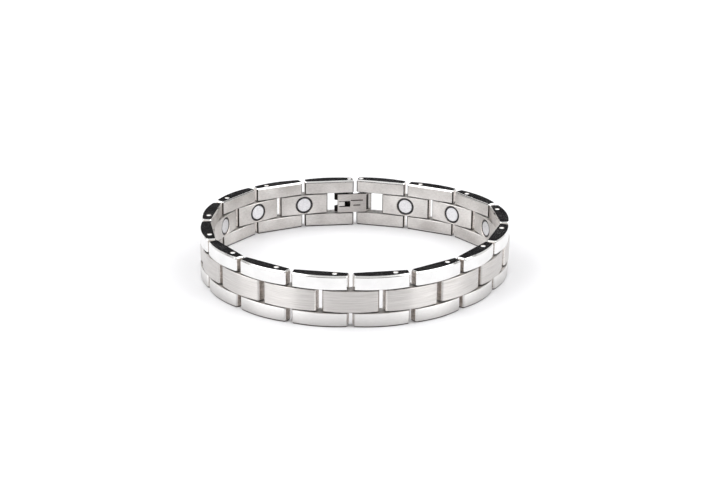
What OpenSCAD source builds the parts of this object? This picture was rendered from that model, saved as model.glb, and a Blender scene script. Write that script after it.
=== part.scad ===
// A closed magnetic bracelet of steel links, standing on its edge.
// It has three rows: upper side bars, middle links with a magnet each, and lower side bars.
// Each middle link spans the joint of two neighbouring pairs of bars, as bricks do, and pins hold the rows.
// Z is up, the clasp is at the back (+Y), and the origin is under the middle of the ring.

/* [Side bars] */
// Pairs of side bars round the bracelet
pairs = 16; // [12:1:20]
// Length of a side bar
bar_l = 12.5; // [11:0.1:15]
// Height of a side bar
bar_h = 3.3; // [2.5:0.1:4.5]
// Thickness of a bar or a middle link at its ends
end_t = 2.25; // [2:0.05:3]
// How much thicker they are at the middle
crown = 0.9; // [0.4:0.05:1.4]
// Gap between neighbouring bars of a straight chain
bar_gap = 0.9; // [0.7:0.05:1.4]
// Width of the bevel along the polished outer rims
rim_w = 0.2; // [0.1:0.05:0.5]
// Height of the bevel along the outer rims
rim_h = 0.4; // [0.1:0.05:0.6]
// Bevel along the seams between the rows
seam_edge = 0.12; // [0.05:0.01:0.3]
// Bevel of the upright corners
corner_edge = 0.3; // [0.1:0.05:0.5]

/* [Middle links] */
// Height of a middle link
link_h = 5.0; // [4:0.1:7]
// Gap between neighbouring middle links of a straight chain
link_gap = 1.0; // [0.7:0.05:1.4]
// Gap between the rows
row_gap = 0.2; // [0.1:0.05:0.4]

/* [Pins] */
// Diameter of a pin
pin_d = 1.0; // [0.7:0.05:1.2]
// Distance of a pin from its bar's end
pin_inset = 3.1; // [2.4:0.05:3.6]
// Distance of the pins from the inner face
pin_depth = 1.25; // [1.1:0.05:1.5]
// Clearance round a pin in a side bar
bar_fit = 0.03; // [0.02:0.01:0.06]
// Clearance round a pin in a middle link or a clasp leaf
link_fit = 0.08; // [0.05:0.01:0.1]
// How far a through pin's ends lie below the faces
pin_recess = 0.05; // [0.02:0.01:0.2]
// Metal left over the end of a hidden pin
pin_cover = 1.2; // [0.8:0.1:1.6]

/* [Magnets] */
// Diameter of a magnet
magnet_d = 3.4; // [2.5:0.1:4]
// Thickness of a magnet
magnet_t = 0.8; // [0.5:0.05:1]
// Width of the dark resin round a magnet
resin_w = 0.5; // [0.2:0.05:0.6]
// How far a magnet's face lies below the link's inner face
magnet_recess = 0.12; // [0.05:0.01:0.25]
// How much lower than the magnet the resin lies
resin_recess = 0.06; // [0:0.01:0.15]
// Clearance between magnet, resin and pocket
pocket_fit = 0.03; // [0.02:0.01:0.05]

/* [Clasp] */
// Distance of a clasp pin from its bar's end
clasp_inset = 0.95; // [0.9:0.05:1.2]
// Gap between the two end bars of a straight chain
clasp_gap = 1.1; // [1:0.05:1.5]
// Height of the clasp
clasp_h = 4.8; // [4.2:0.1:4.8]
// Thickness of the clasp plate
plate_t = 0.6; // [0.4:0.05:0.8]
// How far the plate reaches past the catch's pin
plate_past_catch = 3.2; // [3:0.1:4]
// How far the plate reaches past the arm's pin
plate_past_arm = 1.15; // [1:0.05:1.4]
// How far the catch's ears reach past the plate
ear_reach = 0.7; // [0.4:0.1:1.2]
// Height of the open notch between the ears
ear_notch = 1.8; // [1.2:0.1:2.4]
// Wall round a clasp pin
eye_wall = 0.37; // [0.3:0.01:0.45]
// Thickness of the catch behind the line of the pins
catch_behind = 0.6; // [0.5:0.05:0.8]
// How much lower than the plate the catch is at its top and its bottom
catch_step = 0.1; // [0.05:0.05:0.3]
// Metal left behind the catch's pocket
catch_floor = 0.35; // [0.2:0.05:0.5]
// Clearance between the leaves of the clasp
leaf_gap = 0.06; // [0.05:0.01:0.1]
// Length of the spring tongue
tongue_l = 1.5; // [1:0.1:1.8]
// Height of the spring tongue
tongue_h = 1.1; // [0.8:0.1:1.6]
// Width of the slits beside the tongue
tongue_slit = 0.2; // [0.15:0.05:0.3]
// How far the tongue is pressed in
tongue_press = 0.12; // [0:0.02:0.2]
// Length of the open hole past the tongue
plate_hole_l = 1.4; // [1:0.1:1.6]
// Diameter of the hinge pin
hinge_pin_d = 0.6; // [0.5:0.05:0.8]
// Distance of the hinge from the arm's pin
hinge_past_arm = 2.1; // [1.9:0.05:2.6]
// How far the hinge lies behind the line of the pins
hinge_back = 0.3; // [0.1:0.05:0.5]
// Wall round the hinge pin
hinge_wall = 0.25; // [0.2:0.01:0.35]
// Height of the arm and its barrel
arm_h = 3.9; // [3.2:0.1:4]
// Depth of the two plain lines cut in the plate
line_depth = 0.1; // [0.02:0.01:0.15]
// Width of the lines
line_w = 0.28; // [0.2:0.02:0.4]
// Length of the upper line
long_line = 3.1; // [1.5:0.1:3.2]
// Length of the lower line
short_line = 1.8; // [0.8:0.1:2.5]
// Distance of the upper line's start from the plate's hinged end
line_start = 0.9; // [0.5:0.1:1]

/* [Hidden] */
$fn = 96;
// Facets of a full turn of the arched faces, whose radius is large
arch_facets = 240;
// How far a cutter overlaps a face, and how far it reaches past a solid
cut = 0.01;
past = 1;
// Degrees by which each pair stood off the even ring, from the clasp counter-clockwise
stood_off = [-3, -7, -2, 4, -1, 0, -1, 2, -1, 3, -1, -7, -4, 5, 9, -2];

// Heights of the rows
total_h = 2 * bar_h + 2 * row_gap + link_h;
mid_z = total_h / 2;
link_z = bar_h + row_gap;
upper_z = link_z + link_h + row_gap;

// The chain along its pins
bar_span = bar_l - 2 * pin_inset;
link_span = 2 * pin_inset + bar_gap;
end_span = bar_l - pin_inset - clasp_inset;
clasp_span = 2 * clasp_inset + clasp_gap;
link_l = bar_span + link_span - link_gap;

// The arched face, with y towards the wrist and the pins at y = 0
pin_r = pin_d / 2;
rim = [rim_w, rim_h];
seam = [seam_edge, seam_edge];
back_y = pin_depth - end_t;
face_y = back_y - crown;
function face_r(l) = (l * l / 4 + crown * crown) / (2 * crown);

// Magnets
magnet_r = magnet_d / 2;
pocket_r = magnet_r + resin_w + 2 * pocket_fit;
pocket_depth = magnet_recess + magnet_t + pocket_fit;

// Clasp
eye_r = pin_r + link_fit + eye_wall;
plate_y = eye_r + leaf_gap;
plate_end = clasp_span + plate_past_catch;
plate_start = -plate_past_arm;
plate_front = plate_y + plate_t;
plate_bevel = plate_t / 6;
ear_end = plate_end + ear_reach;
catch_t = eye_r + catch_behind;
catch_h = clasp_h - 2 * catch_step;
catch_hole_l = 0.6 * plate_hole_l;
barrel_r = hinge_pin_d / 2 + link_fit + hinge_wall;
hinge_x = -hinge_past_arm;
hinge_y = -hinge_back;
// The arm and the plate's cheeks are a little thinner than the barrel
strap_t = 1.7 * barrel_r;
// Where the tongue starts, and how far its window lies below the plate's middle
tongue_root = 0.3;
window_drop = 0.15;
window_end = plate_end - tongue_root;
window_h = tongue_h + 2 * tongue_slit;
window_l = tongue_l + plate_hole_l;
// The two plain lines, above and below the plate's middle
upper_line_z = clasp_h / 8;
lower_line_z = -clasp_h / 7;
line_shift = (long_line - short_line) / 2;

// The ring is a chain of straight sides from pin to pin: a pair of bars, a middle link, and so on.
// The last side is the closed clasp, which stays parallel to the first pair.
sides = 2 * pairs;
side_turn = 360 / sides;
last_side = sides - 1;

function dir(t) = [cos(t), sin(t)];
function sum(v) = [for (x = v) 1] * v;
function own(k) = k == last_side ? 0 : k;
function even_heading(k) = 180 + (k + 1) * side_turn;
function stood_at(i) = lookup(i * len(stood_off) / pairs, [for (j = [0 : len(stood_off) - 1]) [j, stood_off[j]]]);
function lean(k) = k % 2 == 0 ? stood_at(k / 2) : (stood_at((k - 1) / 2) + stood_at((k + 1) / 2)) / 2;
function side_l(k) =
    k == last_side ? clasp_span
    : k % 2 == 1 ? link_span
    : k == 0 || k == last_side - 1 ? end_span
    : bar_span;

// The ring closes when every side sways a little, by a share of the cosine and the sine of its heading
function sway_terms(k) = dir(even_heading(own(k)));
function heading(k, sway) = even_heading(own(k)) + lean(own(k)) + sway * sway_terms(k);
function end_miss(sway) = sum([for (k = [0 : last_side]) side_l(k) * dir(heading(k, sway))]);
function miss_slope(sway, j) =
    sum([for (k = [0 : last_side]) side_l(k) * sway_terms(k)[j] * dir(heading(k, sway) + 90)]) * PI / 180;
function cross2(a, b) = a[0] * b[1] - a[1] * b[0];
function better(sway) =
    let (e = end_miss(sway), a = miss_slope(sway, 0), b = miss_slope(sway, 1))
    sway - [cross2(e, b), cross2(a, e)] / cross2(a, b);
function closed(sway, rounds) = rounds == 0 ? sway : closed(better(sway), rounds - 1);
sway = closed([0, 0], 6);
headings = [for (k = [0 : last_side]) heading(k, sway)];
joints = [for (k = 0, p = [0, 0]; k < sides; p = p + side_l(k) * dir(headings[k]), k = k + 1) p];

// The middle of the ring's outline, found from points along each arched face, goes to the origin
face_steps = 32;
function to_plan(k, x, y) = joints[k] + x * dir(headings[k]) + y * dir(headings[k] + 90);
function face_at(x, l) = face_y + face_r(l) - sqrt(face_r(l) * face_r(l) - x * x);
function face_points(k, middle, l) =
    [for (s = [-0.5 : 1 / face_steps : 0.5]) to_plan(k, middle + s * l, face_at(s * l, l))];
outline = [for (k = [0 : last_side - 1]) each face_points(k, side_middle(k), k % 2 == 0 ? bar_l : link_l)];
low_corner = [min([for (p = outline) p[0]]), min([for (p = outline) p[1]])];
high_corner = [max([for (p = outline) p[0]]), max([for (p = outline) p[1]])];
ring_middle = (low_corner + high_corner) / 2;

// Distance from a side's first pin to the middle of its bar or link
function side_middle(k) = k % 2 == 1 ? link_span / 2 : k == 0 ? bar_l / 2 - clasp_inset : bar_l / 2 - pin_inset;
// Places of a pair's two pins from the middle of the bar, and which of them goes through
function first_pin(i) = i == 0 ? clasp_inset - bar_l / 2 : pin_inset - bar_l / 2;
function second_pin(i) = i == pairs - 1 ? bar_l / 2 - clasp_inset : bar_l / 2 - pin_inset;
function through_pin(i) = i == 0 ? first_pin(i) : second_pin(i);
function hidden_pin(i) = i == 0 ? second_pin(i) : first_pin(i);

function number(i) = str(i < 9 ? "0" : "", i + 1);
function upper_name(i) = str("upper_bar_", number(i));
function lower_name(i) = str("lower_bar_", number(i));
function link_name(j) = str("middle_link_", number(j));

// Children stand in a side's own frame: x along the chain from its first pin, y towards the wrist
module on_side(k) {
    translate([joints[k][0] - ring_middle[0], joints[k][1] - ring_middle[1], 0])
        rotate([0, 0, headings[k]])
            children();
}

// Children stand at the middle of pair i or of middle link j
module on_pair(i) {
    on_side(2 * i) translate([side_middle(2 * i), 0, 0]) children();
}
module on_link(j) {
    on_side(2 * j + 1) translate([side_middle(2 * j + 1), 0, 0]) children();
}

// An oblong of size w by h with its four corners cut off.
// The lower two are cut by low and the upper two by top, each a width and a height.
module cut_oblong(w, h, low, top) {
    polygon([
        [low[0] - w / 2, 0], [w / 2 - low[0], 0], [w / 2, low[1]], [w / 2, h - top[1]],
        [w / 2 - top[0], h], [top[0] - w / 2, h], [-w / 2, h - top[1]], [-w / 2, low[1]]
    ]);
}

// A bar of length l and height h: flat towards the wrist, arched outside, square ends.
// The bevels along its lower and upper rims are low and top, each a width and a height.
module arched_bar(l, h, low, top) {
    r = face_r(l);
    wide = 2 * (end_t + crown);
    intersection() {
        translate([0, face_y + r, 0])
            rotate_extrude($fn = arch_facets)
                polygon([
                    [0, 0], [r - low[0], 0], [r, low[1]],
                    [r, h - top[1]], [r - top[0], h], [0, h]
                ]);
        translate([l / 2, pin_depth - wide / 2, 0])
            rotate([90, 0, -90])
                linear_extrude(l)
                    cut_oblong(wide, h, low, top);
        translate([0, wide / 2, 0])
            rotate([90, 0, 0])
                linear_extrude(wide)
                    cut_oblong(l, h, low, top);
        linear_extrude(h)
            polygon([
                [-l / 2, back_y + corner_edge], [corner_edge - l / 2, back_y - corner_edge / 2],
                [corner_edge - l / 2, face_y - cut], [l / 2 - corner_edge, face_y - cut],
                [l / 2 - corner_edge, back_y - corner_edge / 2], [l / 2, back_y + corner_edge],
                [l / 2, pin_depth - corner_edge], [l / 2 - corner_edge, pin_depth],
                [corner_edge - l / 2, pin_depth], [-l / 2, pin_depth - corner_edge]
            ]);
    }
}

// An upright hole from z = a to z = b at x
module hole(x, a, b, r) {
    translate([x, 0, a]) cylinder(h = b - a, r = r);
}

// A round pin from z = a to z = b with bevelled ends
module pin(a, b, r) {
    bevel = r / 5;
    rotate_extrude()
        polygon([[0, a], [r - bevel, a], [r, a + bevel], [r, b - bevel], [r - bevel, b], [0, b]]);
}

module upper_bar(i) {
    r = pin_r + bar_fit;
    color("#e4e4e6")
        on_pair(i)
            difference() {
                translate([0, 0, upper_z]) arched_bar(bar_l, bar_h, seam, rim);
                hole(through_pin(i), upper_z - past, total_h + past, r);
                hole(hidden_pin(i), upper_z - past, total_h - pin_cover, r);
            }
}

module lower_bar(i) {
    r = pin_r + bar_fit;
    color("#dcdcde")
        on_pair(i)
            difference() {
                arched_bar(bar_l, bar_h, rim, seam);
                hole(through_pin(i), -past, bar_h + past, r);
                hole(hidden_pin(i), pin_cover, bar_h + past, r);
            }
}

module middle_link(j) {
    r = pin_r + link_fit;
    color("#b9b3ae")
        on_link(j)
            difference() {
                translate([0, 0, link_z]) arched_bar(link_l, link_h, seam, seam);
                for (x = [-link_span / 2, link_span / 2])
                    hole(x, link_z - past, upper_z + past, r);
                translate([0, pin_depth + past, mid_z])
                    rotate([90, 0, 0])
                        cylinder(h = pocket_depth + past, r = pocket_r);
            }
}

module through_pins() {
    color("#f2f2f2")
        for (i = [0 : pairs - 1])
            on_pair(i)
                translate([through_pin(i), 0, 0])
                    pin(pin_recess, total_h - pin_recess, pin_r);
}

module hidden_pins() {
    color("#c8c8c8")
        for (i = [0 : pairs - 1])
            on_pair(i)
                translate([hidden_pin(i), 0, 0])
                    pin(pin_cover + pin_recess, total_h - pin_cover - pin_recess, pin_r);
}

module magnets() {
    color("#e8e6ea")
        for (j = [0 : pairs - 2])
            on_link(j)
                translate([0, pin_depth - magnet_recess, mid_z])
                    rotate([90, 0, 0])
                        cylinder(h = magnet_t, r = magnet_r);
}

module magnet_rings() {
    color("#2a282c")
        for (j = [0 : pairs - 2])
            on_link(j)
                translate([0, pin_depth - magnet_recess - resin_recess, mid_z])
                    rotate([90, 0, 0])
                        difference() {
                            cylinder(h = magnet_t - resin_recess, r = magnet_r + pocket_fit + resin_w);
                            translate([0, 0, -past])
                                cylinder(h = magnet_t + 2 * past, r = magnet_r + pocket_fit);
                        }
}

// The inner leaf, hinged to the arm and snapped over the catch by its spring tongue
module clasp_plate() {
    cheek_h = (clasp_h - arm_h) / 2 - leaf_gap;
    cheek_reach = 2 * (hinge_past_arm + plate_front);
    cheek_turn = atan2(plate_y - hinge_y, plate_start + strap_t / 2 - hinge_x);
    color("#c2bbb5")
        on_side(last_side)
            translate([0, 0, mid_z])
                difference() {
                    union() {
                        difference() {
                            translate([plate_start, plate_y, -clasp_h / 2])
                                cube([plate_end - plate_start, plate_t, clasp_h]);
                            translate([window_end - window_l, plate_y - cut, -window_drop - window_h / 2])
                                cube([window_l, plate_t + 2 * cut, window_h]);
                        }
                        translate([window_end - tongue_l, plate_y, -window_drop - tongue_h / 2])
                            cube([tongue_l + tongue_root / 2, plate_t - tongue_press, tongue_h]);
                        for (z = [-clasp_h / 2, clasp_h / 2 - cheek_h])
                            translate([0, 0, z])
                                linear_extrude(cheek_h)
                                    intersection() {
                                        union() {
                                            translate([hinge_x, hinge_y]) circle(r = barrel_r);
                                            translate([hinge_x, hinge_y])
                                                rotate(cheek_turn)
                                                    translate([0, -strap_t / 2])
                                                        square([cheek_reach, strap_t]);
                                        }
                                        translate([hinge_x - barrel_r, hinge_y - barrel_r])
                                            square([
                                                plate_past_arm + hinge_past_arm, plate_front - hinge_y + barrel_r - cut
                                            ]);
                                    }
                    }
                    translate([hinge_x, hinge_y, -clasp_h])
                        cylinder(h = 2 * clasp_h, r = hinge_pin_d / 2 + bar_fit);
                    for (z = [-clasp_h / 2, clasp_h / 2])
                        translate([plate_start - past, plate_front, z])
                            rotate([45, 0, 0])
                                translate([0, -plate_bevel / 2, -plate_bevel / 2])
                                    cube([plate_end - plate_start + 2 * past, plate_bevel, plate_bevel]);
                    translate([plate_start + line_start, plate_front - line_depth, upper_line_z])
                        cube([long_line, past, line_w]);
                    translate([plate_start + line_start + line_shift, plate_front - line_depth, lower_line_z])
                        cube([short_line, past, line_w]);
                }
}

// The leaf on the first pair of bars, with two ears beside an open notch
module clasp_catch() {
    tip = catch_t / 2;
    color("#8d8884")
        on_side(last_side)
            translate([0, 0, mid_z])
                difference() {
                    translate([0, 0, -catch_h / 2])
                        linear_extrude(catch_h)
                            union() {
                                translate([clasp_span, 0]) circle(r = eye_r);
                                translate([clasp_span, -catch_behind])
                                    square([ear_end - tip - clasp_span, catch_t]);
                                translate([ear_end - tip, tip - catch_behind]) circle(r = tip);
                            }
                    translate([clasp_span, 0, -clasp_h])
                        cylinder(h = 2 * clasp_h, r = pin_r + link_fit);
                    translate([window_end, -2 * eye_r, -window_drop - ear_notch / 2])
                        cube([ear_reach + tongue_root + past, 4 * eye_r, ear_notch]);
                    translate([
                        window_end - tongue_l - catch_hole_l, catch_floor - catch_behind, -window_drop - window_h / 2
                    ])
                        cube([catch_hole_l, catch_t, window_h]);
                }
}

// The leaf on the last pair of bars, which carries the plate's hinge
module clasp_arm() {
    color("#b5aea8")
        on_side(last_side)
            translate([0, 0, mid_z])
                difference() {
                    translate([0, 0, -arm_h / 2])
                        linear_extrude(arm_h)
                            union() {
                                circle(r = eye_r);
                                translate([hinge_x, hinge_y]) circle(r = barrel_r);
                                translate([hinge_x, hinge_y - barrel_r]) square([hinge_past_arm, strap_t]);
                            }
                    translate([0, 0, -clasp_h])
                        cylinder(h = 2 * clasp_h, r = pin_r + link_fit);
                    translate([hinge_x, hinge_y, -clasp_h])
                        cylinder(h = 2 * clasp_h, r = hinge_pin_d / 2 + link_fit);
                }
}

module clasp_hinge_pin() {
    color("#d8d8d8")
        on_side(last_side)
            translate([hinge_x, hinge_y, mid_z])
                pin(pin_recess - clasp_h / 2, clasp_h / 2 - pin_recess, hinge_pin_d / 2);
}

for (i = [0 : pairs - 1])
    upper_bar(i);
for (j = [0 : pairs - 2])
    middle_link(j);
for (i = [0 : pairs - 1])
    lower_bar(i);
through_pins();
hidden_pins();
magnets();
magnet_rings();
clasp_plate();
clasp_catch();
clasp_arm();
clasp_hinge_pin();
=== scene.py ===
import math

import bmesh
import bpy
import numpy as np
from mathutils import Matrix, Vector
from mathutils.geometry import tessellate_polygon


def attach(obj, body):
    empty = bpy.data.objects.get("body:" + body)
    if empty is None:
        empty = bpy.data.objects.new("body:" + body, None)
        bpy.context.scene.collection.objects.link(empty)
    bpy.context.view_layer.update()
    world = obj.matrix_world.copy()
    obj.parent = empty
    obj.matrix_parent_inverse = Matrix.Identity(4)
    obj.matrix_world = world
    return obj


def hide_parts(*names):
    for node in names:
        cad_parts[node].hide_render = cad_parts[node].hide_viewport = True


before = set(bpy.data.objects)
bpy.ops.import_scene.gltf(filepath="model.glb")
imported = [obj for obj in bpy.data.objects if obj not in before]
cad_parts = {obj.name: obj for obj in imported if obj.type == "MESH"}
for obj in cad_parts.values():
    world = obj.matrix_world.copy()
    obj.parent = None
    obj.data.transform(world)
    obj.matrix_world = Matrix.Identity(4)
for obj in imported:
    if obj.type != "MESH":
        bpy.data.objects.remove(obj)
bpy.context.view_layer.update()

MM = 0.001
PAIRS = sum(name.startswith("upper_bar_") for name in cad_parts)

# Sizes of the bracelet, in millimetres. PIN_DEPTH is how far the flat inner face lies from the line of
# the pins, an inset is how far a pin stands from its bar's end, and RIM and SEAM are the width and height
# of the bevels along the bracelet's rims and along the seams between its rows.
PIN_DEPTH = 1.25
END_THICKNESS = 2.25
CROWN = 0.9
RIM = (0.2, 0.4)
SEAM = (0.12, 0.12)
CORNER_BEVEL = 0.3
EDGE_ROUND = 0.07
RIM_ROUND = 0.55
BAR_HEIGHT = 3.3
LINK_HEIGHT = 5.0
LINK_Z = 3.5
UPPER_Z = 8.7
TOTAL_HEIGHT = 12.0
PIN_RADIUS = 0.5
PIN_INSET = 3.1
CLASP_INSET = 0.95
BAR_HOLE_RADIUS = 0.53
LINK_HOLE_RADIUS = 0.58
PIN_RECESS = 0.05
PIN_RISE = 0.08
PIN_DOME = 0.16
PIN_COVER = 1.2
LINK_PIN_INSET = 2.65
MAGNET_RADIUS = 1.7
MAGNET_THICKNESS = 0.8
MAGNET_RECESS = 0.12
RING_INNER = 1.73
RING_OUTER = 2.23
RING_RECESS = 0.18
POCKET_RADIUS = 2.26
POCKET_DEPTH = 0.95
MAGNET_EDGE = 0.06
RING_SAG = 0.05
HOLE_BEVEL = 0.05
PIN_BEVEL = 0.1
CLASP_EDGE = 0.04
# The bars' outer face in their own frame: at their ends, and at the middle of its arch
BACK_Y = PIN_DEPTH - END_THICKNESS
FACE_Y = BACK_Y - CROWN

# Points round a pin's hole, a pin and a magnet, along the arched face, and up a pin's dome and across
# the resin
HOLE_STEPS = 40
PIN_STEPS = 28
MAGNET_STEPS = 64
ARC_STEPS = 32
DOME_STEPS = 6
SAG_STEPS = 7

# The camera, fitted to the bars' corners and pins in the photograph's 720 by 480 pixels
FOCAL_PIXELS = 1667.6
IMAGE_WIDTH = 720
SENSOR_WIDTH = 36.0
CAMERA_DISTANCE = 393.9
CAMERA_ELEVATION = math.radians(20.22)
CAMERA_ROLL = math.radians(0.535)
CAMERA_TARGET = Vector((1.156, 0.0, 7.693))


def make_camera():
    """The camera looks along +Y and down at the target, from its distance, turned a little about its
    own axis."""
    data = bpy.data.cameras.new("camera")
    data.sensor_width = SENSOR_WIDTH
    data.lens = FOCAL_PIXELS / IMAGE_WIDTH * SENSOR_WIDTH
    data.clip_start = 0.01
    data.clip_end = 50.0
    camera = bpy.data.objects.new("camera", data)
    bpy.context.collection.objects.link(camera)
    back = Vector((0.0, -math.cos(CAMERA_ELEVATION), math.sin(CAMERA_ELEVATION)))
    turn = (-back).to_track_quat("-Z", "Y").to_matrix().to_4x4() @ Matrix.Rotation(CAMERA_ROLL, 4, "Z")
    camera.matrix_world = Matrix.Translation((CAMERA_TARGET + CAMERA_DISTANCE * back) * MM) @ turn
    bpy.context.scene.camera = camera


make_camera()


# Patches and meshes

def patch(points, normals, faces, finish=0):
    """Part of a surface: points in millimetres, the normal at each, faces as rows of the points'
    numbers, all of three or all of four, and a material's number."""
    return {
        "points": np.asarray(points, float).reshape(-1, 3),
        "normals": np.asarray(normals, float).reshape(-1, 3),
        "faces": np.asarray(faces, int),
        "finish": finish,
    }


def grid_faces(rows, columns, kept=True):
    """Four-sided faces between neighbouring rows and columns of a grid whose columns go round, all of
    them or those that kept marks. Point number = row times columns plus column."""
    r, c = np.indices((rows - 1, columns))
    kept = np.broadcast_to(kept, r.shape)
    r, c = r[kept], c[kept]
    n = (c + 1) % columns
    return np.stack([r * columns + c, r * columns + n, (r + 1) * columns + n, (r + 1) * columns + c], 1)


def filled(outer, holes, normal, finish):
    """A flat patch inside the loop outer and outside the loops of holes, all with one normal."""
    loops = [outer] + list(holes)
    triangles = tessellate_polygon([[Vector(p) for p in loop] for loop in loops])
    points = np.concatenate(loops)
    return patch(points, np.tile(normal, (len(points), 1)), triangles, finish)


def directions(turn, lift):
    """Unit directions turned about the z axis by turn and raised above the level by lift: the cosine of
    lift times the cosine and the sine of turn, and the sine of lift."""
    return np.stack(
        [np.cos(lift) * np.cos(turn), np.cos(lift) * np.sin(turn), np.sin(lift) + 0 * turn], -1
    )


def lathe(profile, sides):
    """A surface of revolution about the z axis: each row of profile is a radius, a height and the angle
    of its outward normal above the level, and is repeated at even turns. A radius of zero closes a
    pole."""
    profile = np.asarray(profile, float)
    turn = np.arange(sides) * 2 * np.pi / sides
    radius, height, angle = (profile[:, i, None] for i in range(3))
    points = np.stack([radius * np.cos(turn), radius * np.sin(turn), height + 0 * turn], -1)
    return patch(points, directions(turn, angle), grid_faces(len(profile), sides))


def moved(parts, matrix):
    """The same patches carried by a rigid 4 by 4 matrix."""
    turn, shift = matrix[:3, :3], matrix[:3, 3]
    return [dict(p, points=p["points"] @ turn.T + shift, normals=p["normals"] @ turn.T) for p in parts]


def facing_wrist(y, z):
    """The matrix that turns a shape's z axis towards the wrist and puts its origin at y and z."""
    return np.array([[1, 0, 0, 0], [0, 0, 1, y], [0, -1, 0, z], [0, 0, 0, 1]], float)


def make_piece(name, parts, finishes, nodes):
    """One closed mesh from patches: points that coincide to the fifth decimal of a millimetre are
    shared, faces that fold to nothing are dropped, each face is turned so that it looks along its
    normals, and each corner keeps its patch's exact normal."""
    points = np.concatenate([p["points"] for p in parts])
    normals = np.concatenate([p["normals"] for p in parts])
    _, first, same = np.unique(np.round(points, 5), axis=0, return_index=True, return_inverse=True)
    same = same.ravel()
    faces, corner_normals, numbers, start = [], [], [], 0
    for p in parts:
        rows = p["faces"] + start
        a, b, c = points[rows[:, 0]], points[rows[:, 1]], points[rows[:, 2]]
        d = points[rows[:, -1]]
        looks = np.cross(c - a, d - b) if rows.shape[1] == 4 else np.cross(b - a, c - a)
        flip = (looks * normals[rows].sum(1)).sum(1) < 0
        rows[flip] = rows[flip][:, ::-1]
        for row, shared in zip(rows.tolist(), same[rows].tolist()):
            kept = [i for i in range(len(row)) if shared[i] != shared[i - 1]]
            if len(kept) > 2:
                faces.append([shared[i] for i in kept])
                corner_normals.extend(row[i] for i in kept)
                numbers.append(p["finish"])
        start += len(p["points"])
    mesh = bpy.data.meshes.new(name)
    mesh.from_pydata((points[first] * MM).tolist(), [], faces)
    for finish in finishes:
        mesh.materials.append(finish)
    mesh.polygons.foreach_set("material_index", numbers)
    mesh.polygons.foreach_set("use_smooth", [True] * len(faces))
    unit = normals[corner_normals]
    unit /= np.linalg.norm(unit, axis=1)[:, None]
    mesh.normals_split_custom_set(unit.tolist())
    mesh.update()
    piece = bpy.data.objects.new(name, mesh)
    bpy.context.collection.objects.link(piece)
    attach(piece, "root")
    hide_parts(*nodes)


# Shapes of the bars and links

# How far from its middle the inner face has points, on both sides of the magnet's pocket
POCKET_FIELD = 2.6
# Points round each small rounding of a profile or an outline
ROUND_STEPS = 5
# A bar's or link's regions, in the order of its materials
OUTER, INNER, ENDS, CORNERS, LOW_EDGE, LOW_FLAT, TOP_EDGE, TOP_FLAT = range(8)
# How far the outer faces' normals lean at their lower and upper edges
UPPER_PILLOW = (math.radians(3.0), math.radians(3.0))
LOWER_PILLOW = (math.radians(9.0), 0.0)
FLAT = (0.0, 0.0)


def rounded(corner, start, end, radius):
    """A convex corner rounded by an arc between two faces whose normals stand at the angles start and
    end: its points, and the angle of the normal at each. The arc's centre lies behind the corner, against
    the middle of the two normals, by the radius over the cosine of half the angle between them."""
    middle, half = (start + end) / 2, abs(end - start) / 2
    centre = np.array(corner) - radius / math.cos(half) * np.array([math.cos(middle), math.sin(middle)])
    angles = np.linspace(start, end, ROUND_STEPS)
    return centre + radius * np.stack([np.cos(angles), np.sin(angles)], 1), angles


def upright_profile(height, low, top):
    """The profile of a bar's side from its lower flat to its upper one: a bevel, a straight wall and a
    bevel, with each edge rounded. low and top are the bevels' width and height, and a tall bevel runs
    into the wall by a larger rounding. Gives rows of inset, height and the normal's angle."""
    quarter = math.pi / 2
    low_turn, top_turn = math.atan2(low[0], low[1]), math.atan2(top[0], top[1])
    low_round = RIM_ROUND if low[1] > low[0] else EDGE_ROUND
    top_round = RIM_ROUND if top[1] > top[0] else EDGE_ROUND
    corners = [
        ((-low[0], 0.0), -quarter, -low_turn, EDGE_ROUND),
        ((0.0, low[1]), -low_turn, 0.0, low_round),
        ((0.0, height - top[1]), 0.0, top_turn, top_round),
        ((-top[0], height), top_turn, quarter, EDGE_ROUND),
    ]
    rows = []
    for corner, start, end, radius in corners:
        p, angles = rounded(corner, start, end, radius)
        rows.append(np.column_stack([-p[:, 0], p[:, 1], angles]))
    return np.concatenate(rows)


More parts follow.
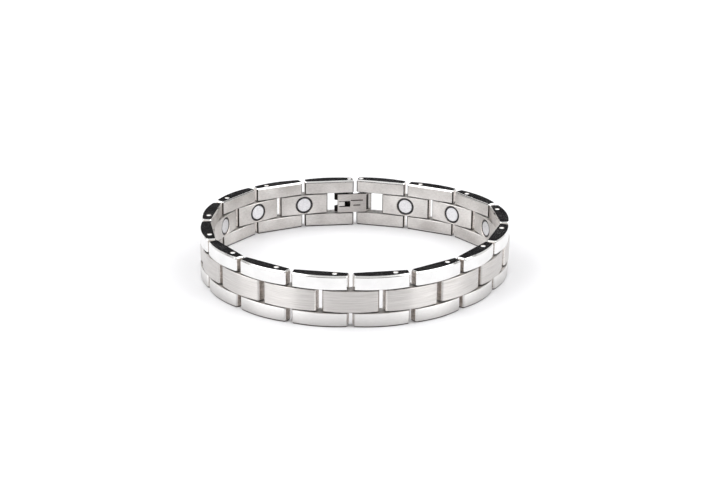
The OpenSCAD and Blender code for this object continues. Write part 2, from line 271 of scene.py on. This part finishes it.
def level_outline(length, inset):
    """The outline of a bar seen from above, drawn in by inset: flat towards the wrist, with bevelled
    corners, and the arched face an arc whose rise is the crown. The arc's radius is half the length
    squared plus the crown squared, over twice the crown. Only the right half is worked out, and the left
    mirrors it. Gives rows of x, y and the normal's angle, clockwise from the middle of the inner
    face."""
    half = length / 2
    radius = (half * half + CROWN * CROWN) / (2 * CROWN)
    arc_y = FACE_Y + radius
    # The inner corner is cut at half a right angle, along the line where x and y add up to slant
    slant = half + PIN_DEPTH - CORNER_BEVEL - math.sqrt(2) * inset
    # The outer corner is cut half as far again along y as along x, until the cut meets the arc
    outer_normal = math.atan2(-1.0, 1.5)
    nx, ny = math.cos(outer_normal), math.sin(outer_normal)
    reach = nx * half + ny * (BACK_Y + CORNER_BEVEL) - inset
    inner = np.array([slant - PIN_DEPTH + inset, PIN_DEPTH - inset])
    upper = np.array([half - inset, slant - half + inset])
    lower = np.array([half - inset, (reach - nx * (half - inset)) / ny])
    step = np.array([ny, -nx])
    gap = lower - (0.0, arc_y)
    along = step @ gap
    travel = -along + math.sqrt(along * along - gap @ gap + (radius - inset) ** 2)
    outer = lower + travel * step
    arc_angle = math.atan2(outer[1] - arc_y, outer[0])
    # The inner corner's two roundings share its slant, so each takes less than half of it
    slant_length = np.linalg.norm(upper - inner)
    soft = min(EDGE_ROUND, 0.45 * slant_length / math.tan(math.pi / 8))
    turns = [
        rounded(inner, math.pi / 2, math.pi / 4, soft), rounded(upper, math.pi / 4, 0.0, soft),
        rounded(lower, 0.0, outer_normal, soft), rounded(outer, outer_normal, arc_angle, soft),
    ]
    right = np.concatenate([np.column_stack([p, a]) for p, a in turns])
    start = math.atan2(right[-1, 1] - arc_y, right[-1, 0])
    arc = np.linspace(start, -math.pi - start, ARC_STEPS + 1)[1:-1]
    drawn = radius - inset
    bottom = np.stack([drawn * np.cos(arc), arc_y + drawn * np.sin(arc), arc], 1)
    left = right[::-1] * (-1, 1, -1) + (0, 0, math.pi)
    first, last = ([(x, PIN_DEPTH - inset, math.pi / 2)] for x in (POCKET_FIELD, -POCKET_FIELD))
    return np.concatenate([first, right, bottom, left, last])


def circle(x, z, radius):
    """The points of a level circle about x and the height z: the radius times the cosine and the sine of
    even turns."""
    turn = np.arange(HOLE_STEPS) * 2 * np.pi / HOLE_STEPS
    return np.stack([x + radius * np.cos(turn), radius * np.sin(turn), 0 * turn + z], 1)


def bore(x, levels, closed_at=None):
    """The wall of an upright hole at x through rows of height and radius, with a flat end if closed_at
    gives its height. Its normals look at the hole's axis."""
    levels = np.asarray(levels, float)
    rings = np.stack([circle(x, z, r) for z, r in levels])
    inward = (np.array([x, 0.0, 0.0]) - rings) * (1, 1, 0)
    slope = np.gradient(levels[:, 1], levels[:, 0])[:, None]
    inward /= np.linalg.norm(inward, axis=2)[:, :, None]
    normals = inward + np.stack([0 * slope, 0 * slope, slope], 2)
    parts = [patch(rings, normals, grid_faces(len(levels), HOLE_STEPS), ENDS)]
    if closed_at is not None:
        last = rings[np.argmin(abs(levels[:, 0] - closed_at))]
        faces_down = closed_at > levels[:, 0].mean()
        parts.append(filled(last, [], (0, 0, -1 if faces_down else 1), ENDS))
    return parts


def bar_body(length, height, low, top, holes, pocket=False, pillow=FLAT):
    """A bar or link as a level outline carried up an upright profile, which draws it in at the bevels.
    The two flats are filled round the pins' holes. holes has rows of x, radius, and whether it opens
    below and above. A pocket opens a round hole in the inner face, half way up. The outer wall bulges
    by so little that only its normals lean, by the two angles of pillow at its lower and upper edges.
    Each region's number is one from OUTER to TOP_FLAT."""
    profile = upright_profile(height, low, top)
    outlines = np.stack([level_outline(length, inset) for inset in profile[:, 0]])
    columns = outlines.shape[1]
    x, y, turn = (outlines[:, :, i] for i in range(3))
    points = np.stack([x, y, profile[:, 1][:, None] + 0 * x], -1)
    # The profile's rows where the straight wall starts and ends
    wall_low, wall_high = 2 * ROUND_STEPS - 1, 2 * ROUND_STEPS
    bulged = profile[:, 2].copy()
    bulged[wall_low], bulged[wall_high] = -pillow[0], pillow[1]
    r, c = np.indices((len(profile) - 1, columns))
    # The outline starts and ends on the inner face, beside the field of the magnet's pocket
    in_field = (r == wall_low) & (c == columns - 1)
    inner = (r == wall_low) & ((c >= columns - 2) | (c == 0))
    # How many columns each face is past the inner corner, on the side where that is less
    past = np.minimum(c, columns - 2 - c) - ROUND_STEPS
    region = np.where((past >= 0) & (past < 2 * ROUND_STEPS), ENDS, OUTER)
    region = np.where((past >= 0) & (past < ROUND_STEPS), CORNERS, region)
    region = np.where(inner, INNER, region)
    # The outermost rounding and the bevel, below and above, are the edges
    region = np.where(r < ROUND_STEPS, LOW_EDGE, region)
    region = np.where(r >= 3 * ROUND_STEPS - 1, TOP_EDGE, region)
    parts = []
    for number in (OUTER, INNER, ENDS, CORNERS, LOW_EDGE, TOP_EDGE):
        kept = (region == number) & ~(pocket & in_field)
        lift = bulged if number == OUTER else profile[:, 2]
        normals = directions(turn, lift[:, None])
        parts.append(patch(points, normals, grid_faces(len(profile), columns, kept), number))
    if pocket:
        rim = np.concatenate([points[wall_low, [-1, 0]], points[wall_high, [0, -1]]])
        mouth_radius = POCKET_RADIUS + HOLE_BEVEL
        mouth = circle(0, 0, mouth_radius)[:, [0, 2, 1]] + (0.0, PIN_DEPTH, height / 2)
        parts.append(filled(rim, [mouth], (0, 1, 0), INNER))
        wall = [(-POCKET_DEPTH, POCKET_RADIUS), (-HOLE_BEVEL, POCKET_RADIUS), (0.0, mouth_radius)]
        pocket_wall = bore(0.0, wall, closed_at=-POCKET_DEPTH)
        parts += moved(pocket_wall, facing_wrist(PIN_DEPTH, height / 2))
    # Each flat: its row of the profile, the value of a hole that says whether it opens there, the way
    # that the flat looks, and its region
    for at, opens, side, number in ((0, 2, -1, LOW_FLAT), (-1, 3, 1, TOP_FLAT)):
        z = points[at, 0, 2]
        mouths = [circle(hole[0], z, hole[1] + HOLE_BEVEL) for hole in holes if hole[opens]]
        parts.append(filled(points[at], mouths, (0, 0, side), number))
    blind = height - PIN_COVER
    for x, radius, below, above in holes:
        wide = radius + HOLE_BEVEL
        start = [(0.0, wide), (HOLE_BEVEL, radius)] if below else [(PIN_COVER, radius)]
        end = [(height - HOLE_BEVEL, radius), (height, wide)] if above else [(blind, radius)]
        closed_at = None if below and above else (PIN_COVER if above else blind)
        parts += bore(x, start + end, closed_at)
    return parts


# Places, from the CAD nodes

# The normal of an upright face rises or falls by less than this
LEAN = 0.01


def as_rows(items, name, size):
    """One property of all polygons or vertices of a mesh, as rows of the given size."""
    values = np.empty(len(items) * size)
    items.foreach_get(name, values)
    return values.reshape(-1, size)


def own_frame(node, z):
    """The frame of a bar or link: x along the chain, y towards the wrist, from the pins' line. The flat
    inner face is its largest upright face that looks at the middle of the ring, and its length gives
    its middle."""
    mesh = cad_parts[node].data
    normals, centres = as_rows(mesh.polygons, "normal", 3), as_rows(mesh.polygons, "center", 3)
    areas = as_rows(mesh.polygons, "area", 1)[:, 0]
    upright = abs(normals[:, 2]) < LEAN
    looks_in = (normals * centres).sum(1) < 0
    across = normals[np.argmax(areas * (upright & looks_in))][:2]
    across /= np.linalg.norm(across)
    along = np.array([across[1], -across[0]])
    plan = as_rows(mesh.vertices, "co", 3)[:, :2] / MM
    s, t = plan @ along, plan @ across
    matrix = np.eye(4)
    matrix[:2, 0], matrix[:2, 1] = along, across
    matrix[:2, 3] = along * (s.max() + s.min()) / 2 + across * (t.max() - PIN_DEPTH)
    matrix[2, 3] = z
    return matrix, s.max() - s.min()


def pins_of(pair, half):
    """Where a pair's pins stand along its bars: the one that shows, and the hidden one."""
    if pair == 1:
        return CLASP_INSET - half, half - PIN_INSET
    if pair == PAIRS:
        return half - CLASP_INSET, PIN_INSET - half
    return half - PIN_INSET, PIN_INSET - half


# Materials

def new_material(name):
    """A new node material, its node tree and its shader."""
    material = bpy.data.materials.new(name)
    material.use_nodes = True
    tree = material.node_tree
    shader = next(n for n in tree.nodes if n.type == "BSDF_PRINCIPLED")
    return material, tree, shader


def new_metal(name):
    """A new node material of bare metal, its node tree and its shader."""
    material, tree, shader = new_material(name)
    shader.inputs["Metallic"].default_value = 1.0
    return material, tree, shader


def split_place(tree, space="Object"):
    """The x, y and z of the coordinates in a space, by the names of the sockets."""
    place = tree.nodes.new("ShaderNodeTexCoord")
    split = tree.nodes.new("ShaderNodeSeparateXYZ")
    tree.links.new(place.outputs[space], split.inputs["Vector"])
    return split.outputs


def stretched_noise(tree, scale, stretch, detail, roughness=0.6):
    """Noise on Object coordinates, drawn out by the three stretch factors."""
    place = tree.nodes.new("ShaderNodeTexCoord")
    mapping = tree.nodes.new("ShaderNodeMapping")
    mapping.inputs["Scale"].default_value = stretch
    noise = tree.nodes.new("ShaderNodeTexNoise")
    noise.inputs["Scale"].default_value = scale
    noise.inputs["Detail"].default_value = detail
    noise.inputs["Roughness"].default_value = roughness
    tree.links.new(place.outputs["Object"], mapping.inputs["Vector"])
    tree.links.new(mapping.outputs["Vector"], noise.inputs["Vector"])
    return noise.outputs["Fac"]


def ranged(tree, value, low, high, start=0.3, end=0.7, way="LINEAR"):
    """The value carried from the span start to end onto low to high, evenly or in another way."""
    node = tree.nodes.new("ShaderNodeMapRange")
    node.interpolation_type = way
    node.inputs["From Min"].default_value = start
    node.inputs["From Max"].default_value = end
    node.inputs["To Min"].default_value = low
    node.inputs["To Max"].default_value = high
    tree.links.new(value, node.inputs["Value"])
    return node.outputs["Result"]


def worked_out(tree, operation, first, second):
    """A maths node of two values, each a socket or a number."""
    node = tree.nodes.new("ShaderNodeMath")
    node.operation = operation
    for socket, value in zip(node.inputs, (first, second)):
        if isinstance(value, (int, float)):
            socket.default_value = value
        else:
            tree.links.new(value, socket)
    return node.outputs["Value"]


def mixed(tree, first, second, share):
    """A colour between two, by a share from 0 to 1. The first is a socket or three numbers."""
    mix = tree.nodes.new("ShaderNodeMix")
    mix.data_type = "RGBA"
    mix.inputs["B"].default_value = (*second, 1)
    tree.links.new(share, mix.inputs["Factor"])
    if isinstance(first, tuple):
        mix.inputs["A"].default_value = (*first, 1)
    else:
        tree.links.new(first, mix.inputs["A"])
    return mix.outputs["Result"]


def finished(tree, shader, value, gloss, dark, light):
    """The shader's roughness within the two values of gloss, and its colour between dark and light,
    both from one noise."""
    tree.links.new(ranged(tree, value, *gloss), shader.inputs["Roughness"])
    tree.links.new(mixed(tree, dark, light, ranged(tree, value, 0, 1)), shader.inputs["Base Color"])


def bumped(tree, shader, value, depth):
    """Relief of the given depth in millimetres on the shader."""
    bump = tree.nodes.new("ShaderNodeBump")
    bump.inputs["Strength"].default_value = 1.0
    bump.inputs["Distance"].default_value = depth * MM
    tree.links.new(value, bump.inputs["Height"])
    tree.links.new(bump.outputs["Normal"], shader.inputs["Normal"])


def polished_steel(name, gloss, hairlines):
    """Mirror polish with a slightly uneven sheen, its roughness within the two values of gloss, and
    with hairlines of the given depth in millimetres."""
    material, tree, shader = new_metal(name)
    smear = stretched_noise(tree, scale=260, stretch=(1, 1, 1.6), detail=4)
    finished(tree, shader, smear, gloss, dark=(0.77, 0.765, 0.755), light=(0.855, 0.85, 0.84))
    hair = stretched_noise(tree, scale=1500, stretch=(1, 1, 9), detail=5)
    bumped(tree, shader, hair, hairlines)
    return material


def brushed_steel(name, scale, stretch, gloss, dark, light, shade_by_height=0.0):
    """Steel brushed lengthwise: fine level lines in relief, gloss and tone, and highlights drawn out
    across them. Its roughness lies within the two values of gloss, and its tone between dark and light.
    A share of the tone, given by the last argument, is painted shade that comes from the height above the
    floor, up to a lower bar's top, so the steel is darker towards the foot; the rest comes from the
    lines."""
    material, tree, shader = new_metal(name)
    shader.inputs["Anisotropic"].default_value = 0.9
    shader.inputs["Anisotropic Rotation"].default_value = 0.25
    lines = stretched_noise(tree, scale=scale, stretch=(1, 1, stretch), detail=6, roughness=0.7)
    tree.links.new(ranged(tree, lines, *gloss), shader.inputs["Roughness"])
    tone = worked_out(tree, "MULTIPLY", ranged(tree, lines, 0, 1), 1 - shade_by_height)
    # Painted shade: the tone darkens towards the foot, standing in for the floor's contact shadow.
    if shade_by_height:
        height = ranged(tree, split_place(tree)["Z"], 0, shade_by_height, start=0, end=BAR_HEIGHT * MM)
        tone = worked_out(tree, "ADD", tone, height)
    tree.links.new(mixed(tree, dark, light, tone), shader.inputs["Base Color"])
    bumped(tree, shader, lines, depth=0.004)
    tangent = tree.nodes.new("ShaderNodeTangent")
    tangent.direction_type = "RADIAL"
    tangent.axis = "Z"
    tree.links.new(tangent.outputs["Tangent"], shader.inputs["Tangent"])
    return material


def satin_steel(name, dark, light):
    """A soft satin with short fine lines and broader smudges, its tone between dark and light."""
    material, tree, shader = new_metal(name)
    grain = stretched_noise(tree, scale=1600, stretch=(1, 1, 2), detail=4, roughness=0.7)
    smudge = stretched_noise(tree, scale=130, stretch=(1, 1, 1), detail=1, roughness=0.5)
    fine_share = worked_out(tree, "MULTIPLY", grain, 0.4)
    broad_share = worked_out(tree, "MULTIPLY", smudge, 0.6)
    tone = ranged(tree, worked_out(tree, "ADD", fine_share, broad_share), 0, 1, start=0.35, end=0.65)
    tree.links.new(ranged(tree, grain, 0.36, 0.5), shader.inputs["Roughness"])
    tree.links.new(mixed(tree, dark, light, tone), shader.inputs["Base Color"])
    bumped(tree, shader, grain, depth=0.004)
    return material


def ground_steel(name, tone):
    """Bare steel as it was cut, matt and unpolished, in the gaps and at the ends. With a dark or black
    tone it serves as painted shade in the corners and seams and on the clasp's sides.
    """
    material, tree, shader = new_metal(name)
    grain = stretched_noise(tree, scale=900, stretch=(1, 1, 4), detail=4)
    # The tone varies by three tenths to either side
    dark, light = (tuple(share * c for c in tone) for share in (0.7, 1.3))
    finished(tree, shader, grain, gloss=(0.36, 0.50), dark=dark, light=light)
    return material


def pin_steel():
    """Turned pin ends with marks too fine to count, soft enough to catch the light from above."""
    material, tree, shader = new_metal("pin_steel")
    grain = stretched_noise(tree, scale=1800, stretch=(1, 1, 1), detail=3)
    finished(tree, shader, grain, gloss=(0.50, 0.62), dark=(0.9, 0.9, 0.9), light=(1.0, 1.0, 1.0))
    bumped(tree, shader, grain, depth=0.002)
    return material


def magnet_nickel():
    """Matt nickel plating with a sintered grain."""
    material, tree, shader = new_metal("magnet_nickel")
    grain = stretched_noise(tree, scale=2600, stretch=(1, 1, 1), detail=4, roughness=0.7)
    finished(tree, shader, grain, gloss=(0.34, 0.5), dark=(0.66, 0.655, 0.67), light=(0.9, 0.895, 0.91))
    bumped(tree, shader, grain, depth=0.012)
    return material


def dark_resin():
    """Glossy black resin, poured and slightly uneven."""
    material, tree, shader = new_material("dark_resin")
    grain = stretched_noise(tree, scale=900, stretch=(1, 1, 1), detail=3)
    dark, light = (0.012, 0.011, 0.013), (0.03, 0.028, 0.032)
    finished(tree, shader, grain, gloss=(0.18, 0.34), dark=dark, light=light)
    bumped(tree, shader, grain, depth=0.01)
    return material


POLISHED = polished_steel("polished_steel", gloss=(0.05, 0.11), hairlines=0.0012)
TOP = polished_steel("polished_top", gloss=(0.10, 0.18), hairlines=0.004)
BRUSHED = brushed_steel(
    "brushed_steel", scale=160, stretch=45, gloss=(0.30, 0.42),
    dark=(0.51, 0.487, 0.468), light=(0.77, 0.75, 0.73),
)
# The lower bars' outer face is painted darker towards the foot, a painted shade for the floor's contact
# shadow that it mirrors.
FINE = brushed_steel(
    "fine_brushed_steel", scale=900, stretch=4, gloss=(0.28, 0.34),
    dark=(0.535, 0.522, 0.508), light=(0.91, 0.90, 0.885), shade_by_height=0.8,
)
SATIN = satin_steel("satin_steel", dark=(0.50, 0.475, 0.455), light=(0.80, 0.775, 0.75))
CLASP = satin_steel("clasp_satin", dark=(0.39, 0.365, 0.35), light=(0.66, 0.63, 0.605))
RAW = ground_steel("raw_steel", tone=(0.64, 0.595, 0.56))
# Painted shade: near-black steel on the bars' and links' inner corners, their lower bevels and flats, and
# the floors of the clasp plate's lines, where shade falls.
PAINTED_SHADE = ground_steel("painted_shade_steel", tone=(0.08, 0.068, 0.06))
# Painted deep shadow: black steel on the clasp leaves' sides, tops and bottoms, over the catch's front,
# and over the arm's front except for its barrel.
PAINTED_DEEP_SHADE = ground_steel("painted_deep_shade_steel", tone=(0.015, 0.013, 0.012))
GROUND = ground_steel("ground_steel", tone=(0.72, 0.70, 0.68))
PIN = pin_steel()
MAGNET = magnet_nickel()
RESIN = dark_resin()

# The finish of each region, from OUTER to TOP_FLAT. The inner corners and the lower bevels and flats are
# painted shade.
BAR_FINISHES = {
    "upper_bar_": [POLISHED, SATIN, RAW, PAINTED_SHADE, PAINTED_SHADE, PAINTED_SHADE, POLISHED, TOP],
    "lower_bar_": [FINE, SATIN, RAW, PAINTED_SHADE, PAINTED_SHADE, PAINTED_SHADE, SATIN, GROUND],
}
LINK_FINISHES = [BRUSHED, SATIN, RAW, PAINTED_SHADE, PAINTED_SHADE, PAINTED_SHADE, SATIN, GROUND]


# Bars, links, pins and magnets

def make_bars(pair):
    """The upper and the lower bar of one pair. The pin that shows goes through, and the hidden one
    stops short of the outer face."""
    name = f"{pair:02d}"
    for row, z, low, top, pillow in (
        ("upper_bar_", UPPER_Z, SEAM, RIM, UPPER_PILLOW),
        ("lower_bar_", 0.0, RIM, SEAM, LOWER_PILLOW),
    ):
        upper = row == "upper_bar_"
        matrix, length = own_frame(row + name, z)
        shown, hidden = pins_of(pair, length / 2)
        holes = [(shown, BAR_HOLE_RADIUS, True, True), (hidden, BAR_HOLE_RADIUS, upper, not upper)]
        parts = moved(bar_body(length, BAR_HEIGHT, low, top, holes, pillow=pillow), matrix)
        make_piece("steel_" + row + name, parts, BAR_FINISHES[row], [row + name])


def make_link(number):
    """One middle link with its two pin holes and its magnet's pocket."""
    name = f"middle_link_{number:02d}"
    matrix, length = own_frame(name, LINK_Z)
    span = length / 2 - LINK_PIN_INSET
    holes = [(-span, LINK_HOLE_RADIUS, True, True), (span, LINK_HOLE_RADIUS, True, True)]
    parts = moved(bar_body(length, LINK_HEIGHT, SEAM, SEAM, holes, pocket=True), matrix)
    make_piece("steel_" + name, parts, LINK_FINISHES, [name])
    return matrix


def pin_profile(low, high, dome):
    """A round pin's profile from low to high, with a domed upper end that rises by dome at the middle
    and a flat lower one with a small bevel. The dome's own radius is the pin's radius squared plus the
    rise squared, over twice the rise."""
    bulge = (PIN_RADIUS * PIN_RADIUS + dome * dome) / (2 * dome)
    quarter = math.pi / 2
    narrow, above = PIN_RADIUS - PIN_BEVEL, low + PIN_BEVEL
    upper = [
        (bulge * math.sin(a), high + bulge * (math.cos(a) - 1), quarter - a)
        for a in np.linspace(0, math.asin(PIN_RADIUS / bulge), DOME_STEPS)
    ]
    side = [(PIN_RADIUS, high - dome, 0.0), (PIN_RADIUS, above, 0.0)]
    lower = [
        (PIN_RADIUS, above, -quarter / 2), (narrow, low, -quarter / 2),
        (narrow, low, -quarter), (0.0, low, -quarter),
    ]
    return np.array(upper + side + lower)


def make_through_pins():
    """The pins whose ends show, one for each pair of bars, all turned from one profile."""
    pin = lathe(pin_profile(PIN_RECESS, TOTAL_HEIGHT + PIN_RISE, PIN_DOME), PIN_STEPS)
    parts = []
    for pair in range(1, PAIRS + 1):
        matrix, length = own_frame(f"upper_bar_{pair:02d}", 0.0)
        shift = np.eye(4)
        shift[0, 3] = pins_of(pair, length / 2)[0]
        parts += moved([pin], matrix @ shift)
    make_piece("steel_through_pins", parts, [PIN], ["through_pins"])


def make_magnets(places):
    """A magnet disc and a ring of resin in each link, both turned shapes that face the wrist."""
    quarter = math.pi / 2
    low = -MAGNET_THICKNESS
    # The middle of the disc's rounded edge lies this far inside its sharp corner
    soft = 0.3 * MAGNET_EDGE
    disc = [
        (0.0, 0.0, quarter), (MAGNET_RADIUS - MAGNET_EDGE, 0.0, quarter),
        (MAGNET_RADIUS - soft, -soft, quarter / 2), (MAGNET_RADIUS, -MAGNET_EDGE, 0.0),
        (MAGNET_RADIUS, low, 0.0), (MAGNET_RADIUS, low, -quarter), (0.0, low, -quarter),
    ]
    width = RING_OUTER - RING_INNER
    top = MAGNET_RECESS - RING_RECESS
    # The resin's surface sags as a parabola between its two edges
    sagging = [
        (
            RING_INNER + width * t,
            top - RING_SAG * 4 * t * (1 - t),
            quarter + math.atan(RING_SAG * 4 * (2 * t - 1) / width),
        )
        for t in np.linspace(0, 1, SAG_STEPS)
    ]
    ring = sagging + [
        (RING_OUTER, top, 0.0), (RING_OUTER, low, 0.0), (RING_OUTER, low, -quarter),
        (RING_INNER, low, -quarter), (RING_INNER, low, math.pi), (RING_INNER, top, math.pi),
    ]
    upright = facing_wrist(PIN_DEPTH - MAGNET_RECESS, LINK_HEIGHT / 2)
    discs, rings = [], []
    for matrix in places:
        discs += moved([lathe(disc, MAGNET_STEPS)], matrix @ upright)
        rings += moved([lathe(ring, MAGNET_STEPS)], matrix @ upright)
    make_piece("nickel_magnets", discs, [MAGNET], ["magnets"])
    make_piece("resin_rings", rings, [RESIN], ["magnet_rings"])


# Front faces of the clasp's leaves with a finish of their own: the finish, and where the face's middle
# lies, from x to x and from y to y in the leaf's own frame. The floors of the plate's two lines are
# painted shade, its pressed tongue is painted brighter than the plate as a painted highlight, and the
# arm's front is painted black as shade except for the hinge's barrel, which keeps the plain satin.
LINE_FLOOR_SHADE = (PAINTED_SHADE, -3.0, 1.4, 1.1, 1.2)
TONGUE_HIGHLIGHT = (SATIN, 1.4, 5.0, 1.08, 1.18)
HINGE_BARREL = (SATIN, -3.0, -0.78, -3.0, 3.0)
# Front faces look towards the wrist by more than the first share, and faces that look away from it by
# more than the second are satin
FRONT_SHARE = 0.6
AWAY_SHARE = 0.2
# Faces that meet at less than the first angle are one flat face, those at more than the second are
# shaded apart, and those at more than the third get a bevel
FLAT_ANGLE = math.radians(0.5)
SHARP_ANGLE = math.radians(30)
BEVEL_ANGLE = math.radians(40)


def make_clasp_leaf(node, front, spots):
    """A clasp leaf made from its CAD node, with its corners shared, its flat faces whole and its edges
    softened by a small bevel. Its faces towards the wrist have the finish front or that of one of spots,
    those away from the wrist are satin, and the others are painted black as deep shade."""
    matrix = own_frame(node, 0.0)[0]
    to_own = np.linalg.inv(matrix)
    copy = bmesh.new()
    copy.from_mesh(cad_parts[node].data)
    bmesh.ops.remove_doubles(copy, verts=copy.verts, dist=0.001 * MM)
    bmesh.ops.dissolve_limit(copy, angle_limit=FLAT_ANGLE, verts=copy.verts, edges=copy.edges)
    finishes = [PAINTED_DEEP_SHADE, CLASP, front] + [spot[0] for spot in spots]
    for polygon in copy.faces:
        x, y = (to_own @ np.array([*polygon.calc_center_median() / MM, 1.0]))[:2]
        toward_wrist = np.dot(polygon.normal, matrix[:3, 1])
        number = 0
        if toward_wrist > FRONT_SHARE:
            number = 2
            for spot, (_, left, right, back, near) in enumerate(spots, 3):
                if left < x < right and back < y < near:
                    number = spot
        elif toward_wrist < -AWAY_SHARE:
            number = 1
        polygon.material_index = number
        polygon.smooth = True
    mesh = bpy.data.meshes.new("steel_" + node)
    copy.to_mesh(mesh)
    copy.free()
    for finish in finishes:
        mesh.materials.append(finish)
    mesh.set_sharp_from_angle(angle=SHARP_ANGLE)
    leaf = bpy.data.objects.new("steel_" + node, mesh)
    bpy.context.collection.objects.link(leaf)
    bevel = leaf.modifiers.new("softened edges", "BEVEL")
    bevel.width = CLASP_EDGE * MM
    bevel.segments = 2
    bevel.limit_method = "ANGLE"
    bevel.angle_limit = BEVEL_ANGLE
    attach(leaf, "root")
    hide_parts(node)


for pair in range(1, PAIRS + 1):
    make_bars(pair)
make_through_pins()
make_magnets([make_link(number) for number in range(1, PAIRS)])
make_clasp_leaf("clasp_plate", CLASP, [LINE_FLOOR_SHADE, TONGUE_HIGHLIGHT])
# The catch's front, and the arm's front except for its barrel, are painted black as deep shade.
make_clasp_leaf("clasp_catch", PAINTED_DEEP_SHADE, [])
make_clasp_leaf("clasp_arm", PAINTED_DEEP_SHADE, [HINGE_BARREL])
for name in ("clasp_hinge_pin", "hidden_pins"):
    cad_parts[name].material_slots[0].material = PIN


# Floor and light

# The floor's radius in metres, its sides and its colour
FLOOR_RADIUS = 4.0
FLOOR_SIDES = 96
FLOOR_COLOUR = (0.885, 0.885, 0.90, 1)

# The room is evenly lit up to the first of the ceiling's heights, and brightest above the second
WALL_LIGHT = (1.12, 1.12, 1.12)
CEILING_LIGHT = (2.4, 2.4, 2.4)
CEILING_HEIGHTS = (62, 78)
ROOM_STRENGTH = 0.77
# Patches of light and shade, each laid over those before it: its colour, the heights where it begins,
# is full, stops being full and ends, its azimuth, and how far round from there it is full and where it
# ends. All are in degrees, heights above the horizon and azimuths from the camera's side to the right.
ROOM_PATCHES = [
    # Broad light screens on the left and the right, and a shade high above the camera
    ((3.0, 3.0, 3.0), (24, 38, 62, 78), -90, (40, 66)),
    ((2.7, 2.7, 2.7), (24, 38, 62, 78), 90, (40, 66)),
    ((0.32, 0.31, 0.30), (42, 52, 74, 86), 0, (44, 64)),
    # Two narrow, low screens in front, on the left and the right
    ((3.8, 3.8, 3.8), (3, 6, 30, 45), -60, (20, 27)),
    ((3.8, 3.8, 3.8), (3, 6, 30, 45), 69, (20, 27)),
    # A dim band round the far half
    ((0.40, 0.39, 0.38), (12, 15, 27, 33), 180, (82, 94)),
    # Dark at the horizon on the camera's side, and higher up round the camera itself
    ((0.10, 0.085, 0.075), (-6, -2, 3, 6), 0, (80, 100)),
    ((0.06, 0.05, 0.045), (-6, -2, 18, 24), 6, (33, 43)),
    # The black middle of the far wall, which the polished top faces mirror
    ((0.025, 0.024, 0.026), (8, 12, 31, 40), 180, (25, 45)),
]


def make_floor():
    """A wide matt white disc that the bracelet stands on, its corners at even turns."""
    turn = np.arange(FLOOR_SIDES) * 2 * np.pi / FLOOR_SIDES
    points = np.stack([FLOOR_RADIUS * np.cos(turn), FLOOR_RADIUS * np.sin(turn), 0 * turn], 1)
    mesh = bpy.data.meshes.new("floor")
    mesh.from_pydata(points.tolist(), [], [list(range(FLOOR_SIDES))])
    material, tree, shader = new_material("white_floor")
    shader.inputs["Base Color"].default_value = FLOOR_COLOUR
    shader.inputs["Roughness"].default_value = 0.9
    shader.inputs["Specular IOR Level"].default_value = 0.1
    mesh.materials.append(material)
    floor = bpy.data.objects.new("floor", mesh)
    bpy.context.collection.objects.link(floor)


def make_surroundings():
    """The room round the bracelet as the world's colour. The sine of the height above the horizon is the
    direction's z. The cosine of the angle round from an azimuth is the part of its x and y along that
    azimuth, over the length of the two. Each patch's edges are soft steps of these."""
    world = bpy.data.worlds.new("room")
    bpy.context.scene.world = world
    world.use_nodes = True
    tree = world.node_tree
    background = next(n for n in tree.nodes if n.type == "BACKGROUND")
    x, y, height = split_place(tree, "Generated")
    rest = worked_out(tree, "SUBTRACT", 1.0, worked_out(tree, "MULTIPLY", height, height))
    # The length of x and y, kept above zero straight overhead
    level = worked_out(tree, "MAXIMUM", worked_out(tree, "SQRT", rest, 0.0), 0.001)

    def soft_step(value, start, end):
        return ranged(tree, value, 0, 1, start, end, "SMOOTHSTEP")

    def rise(start, end):
        return soft_step(height, math.sin(math.radians(start)), math.sin(math.radians(end)))

    def between(low, low_full, high_full, high):
        return worked_out(tree, "SUBTRACT", rise(low, low_full), rise(high_full, high))

    def sector(azimuth, narrow, wide):
        a = math.radians(azimuth)
        across = worked_out(tree, "MULTIPLY", x, math.sin(a))
        along = worked_out(tree, "MULTIPLY", y, -math.cos(a))
        toward = worked_out(tree, "DIVIDE", worked_out(tree, "ADD", across, along), level)
        return soft_step(toward, math.cos(math.radians(wide)), math.cos(math.radians(narrow)))

    colour = mixed(tree, WALL_LIGHT, CEILING_LIGHT, rise(*CEILING_HEIGHTS))
    for light, heights, azimuth, (full, end) in ROOM_PATCHES:
        share = worked_out(tree, "MULTIPLY", between(*heights), sector(azimuth, full, end))
        colour = mixed(tree, colour, light, share)
    tree.links.new(colour, background.inputs["Color"])
    background.inputs["Strength"].default_value = ROOM_STRENGTH


make_floor()
make_surroundings()
bpy.context.scene.view_settings.view_transform = "Standard"
